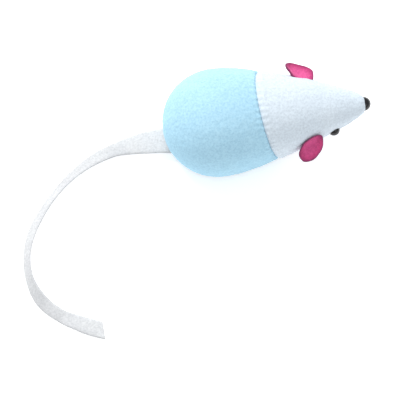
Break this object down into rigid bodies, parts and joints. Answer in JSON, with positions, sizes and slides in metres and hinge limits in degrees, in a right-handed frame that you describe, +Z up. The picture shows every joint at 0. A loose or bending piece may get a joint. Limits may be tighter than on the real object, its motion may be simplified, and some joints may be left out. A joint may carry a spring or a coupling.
{
  "type": "clockwork mouse",
  "caption": "Small plush-covered clockwork mouse on wheels: round rump, tapered snout, felt ears, bead eyes and nose, flat strip tail, spring motor and winding knob in the left flank.",
  "frame": {"origin": "on the floor under the middle of the body, tail left out", "axes": "+X to the nose, +Y to the mouse's left flank, +Z up"},
  "size_m": [0.1228, 0.0824, 0.03],
  "materials": {
    "plush_white": "short pile plush, white",
    "plush_blue": "short pile plush, light blue",
    "felt_pink": "felt, hot pink",
    "bead_black": "glossy black bead",
    "tail_white": "flat white suede strip",
    "shell_plastic": "moulded, satin",
    "chassis_black": "moulded, fine grain",
    "knob_plastic": "moulded, glossy",
    "plate_steel": "rolled sheet",
    "spring_steel": "blued spring steel",
    "gear_brass": "stamped brass",
    "tyre_rubber": "matt rubber"
  },
  "bodies": {
    "root": {"head_cover": "plush_white", "rear_cover": "plush_blue", "ear_left": "felt_pink", "ear_right": "felt_pink", "eye_left": "bead_black", "eye_right": "bead_black", "nose_button": "bead_black", "tail_strip": "tail_white", "body_shell": "shell_plastic", "base_plate": "chassis_black", "shell_screws": "plate_steel", "motor_plate_left": "plate_steel", "motor_plate_right": "plate_steel", "motor_pillars": "plate_steel", "mainspring": "spring_steel", "front_axle": "plate_steel"},
    "drive_wheels": {"drive_axle": "plate_steel", "drive_pinion": "plate_steel", "drive_wheel_left": "chassis_black", "drive_wheel_right": "chassis_black", "tyre_left": "tyre_rubber", "tyre_right": "tyre_rubber"},
    "second_arbor": {"second_arbor": "plate_steel", "second_wheel": "gear_brass", "second_pinion": "plate_steel"},
    "third_arbor": {"third_arbor": "plate_steel", "third_wheel": "gear_brass", "third_pinion": "plate_steel"},
    "governor": {"governor_arbor": "plate_steel", "governor_pinion": "plate_steel", "flywheel": "gear_brass"},
    "great_wheel": {"great_gear": "gear_brass", "click_spring": "spring_steel", "click_rivet": "gear_brass"},
    "winding": {"winding_arbor": "plate_steel", "winding_knob": "knob_plastic", "ratchet_wheel": "gear_brass"},
    "front_wheel": {"front_wheel": "chassis_black"}
  },
  "joints": [
    {"name": "drive_axle_spin", "type": "hinge", "parent": "root", "child": "drive_wheels", "pos_m": [-0.01425, 0, 0.0065], "axis": [0, 1, 0], "continuous": true, "deforming": ["mainspring"]},
    {"name": "second_arbor_spin", "type": "hinge", "parent": "root", "child": "second_arbor", "pos_m": [-0.00863, 0, 0.01146], "axis": [0, 1, 0], "continuous": true},
    {"name": "third_arbor_spin", "type": "hinge", "parent": "root", "child": "third_arbor", "pos_m": [-0.00993, 0, 0.01885], "axis": [0, 1, 0], "continuous": true},
    {"name": "governor_spin", "type": "hinge", "parent": "root", "child": "governor", "pos_m": [-0.01682, 0, 0.01763], "axis": [0, 1, 0], "continuous": true},
    {"name": "great_wheel_spin", "type": "hinge", "parent": "root", "child": "great_wheel", "pos_m": [-0.0008, 0, 0.0098], "axis": [0, 1, 0], "continuous": true},
    {"name": "key_winding", "type": "hinge", "parent": "great_wheel", "child": "winding", "pos_m": [-0.0008, 0, 0.0098], "axis": [0, 1, 0], "range_deg": [-1890, 0], "deforming": ["mainspring", "click_spring"]},
    {"name": "front_wheel_spin", "type": "hinge", "parent": "root", "child": "front_wheel", "pos_m": [0.0087, 0, 0.0032], "axis": [0, 1, 0], "continuous": true}
  ],
  "couplings": [
    {"joint": "second_arbor_spin", "follows": "drive_axle_spin", "ratio": -0.36364},
    {"joint": "third_arbor_spin", "follows": "drive_axle_spin", "ratio": 1},
    {"joint": "governor_spin", "follows": "drive_axle_spin", "ratio": -2.5},
    {"joint": "great_wheel_spin", "follows": "drive_axle_spin", "ratio": 0.12121}
  ]
}
